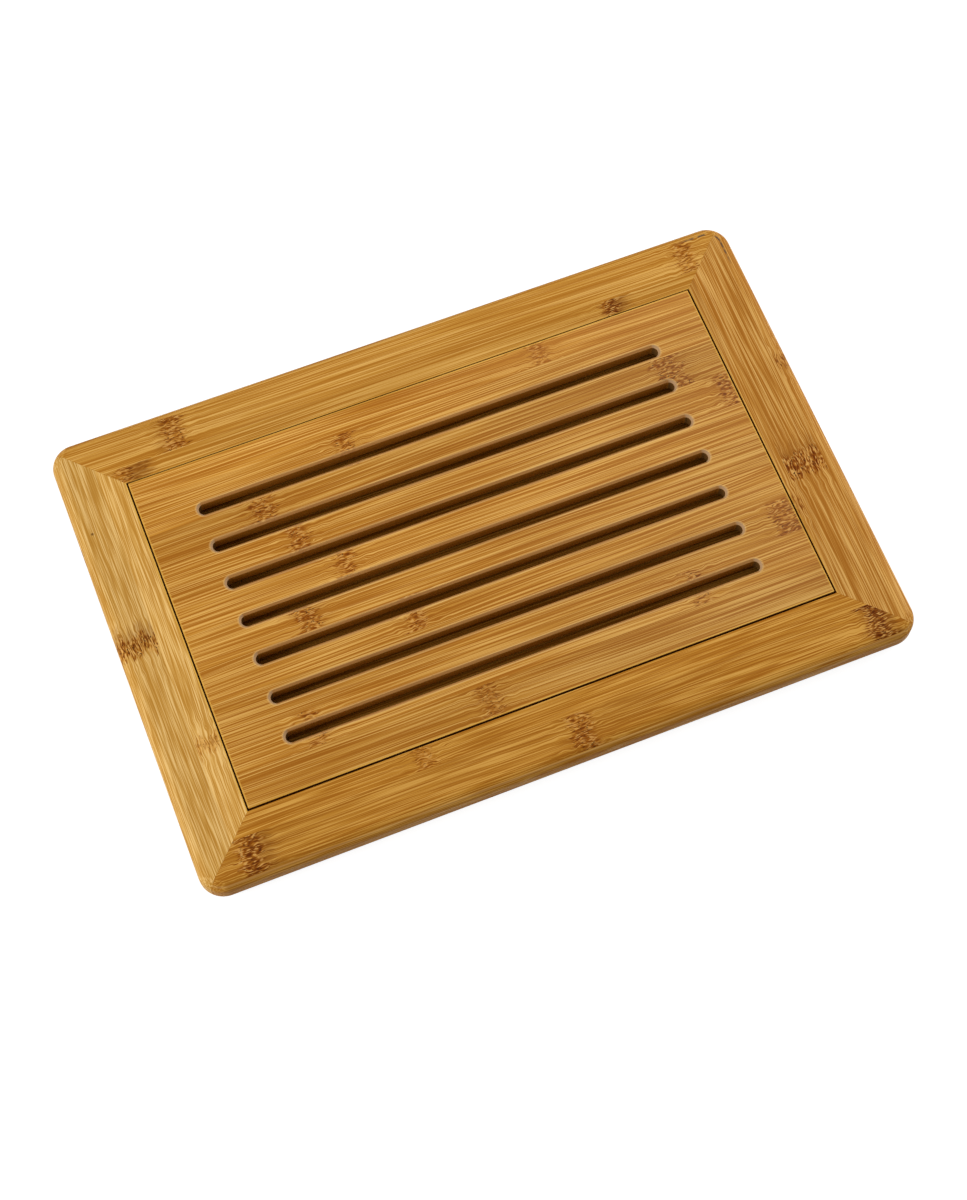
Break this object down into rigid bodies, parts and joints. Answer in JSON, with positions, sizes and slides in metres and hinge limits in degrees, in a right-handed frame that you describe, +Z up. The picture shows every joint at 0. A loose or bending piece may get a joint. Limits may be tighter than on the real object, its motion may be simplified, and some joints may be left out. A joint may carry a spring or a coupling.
{
  "type": "bread board",
  "caption": "Rectangular bamboo bread board: mitred frame with rounded edges, a lift-out slotted board and a crumb tray under it.",
  "frame": {"origin": "centre of the underside that the board rests on", "axes": "+X along the board's length, to the right; +Y to the back rail; +Z up"},
  "size_m": [0.42, 0.28, 0.02],
  "materials": {
    "back_rail_bamboo": "oiled bamboo, satin",
    "front_rail_bamboo": "oiled bamboo, satin",
    "left_stile_bamboo": "oiled bamboo, satin",
    "right_stile_bamboo": "oiled bamboo, satin",
    "key_bamboo": "raw bamboo",
    "panel_bamboo": "oiled bamboo, satin",
    "slotted_bamboo": "oiled bamboo, satin"
  },
  "bodies": {
    "frame": {"back_rail": "back_rail_bamboo", "front_rail": "front_rail_bamboo", "left_stile": "left_stile_bamboo", "right_stile": "right_stile_bamboo", "corner_key_back_left": "key_bamboo", "corner_key_back_right": "key_bamboo", "corner_key_front_left": "key_bamboo", "corner_key_front_right": "key_bamboo", "base_panel": "panel_bamboo"},
    "slotted_board": {"slotted_board": "slotted_bamboo"}
  },
  "joints": [
    {"name": "slotted_board_lift", "type": "slide", "parent": "frame", "child": "slotted_board", "axis": [0, 0, 1], "range_m": [0, 0.06]}
  ]
}
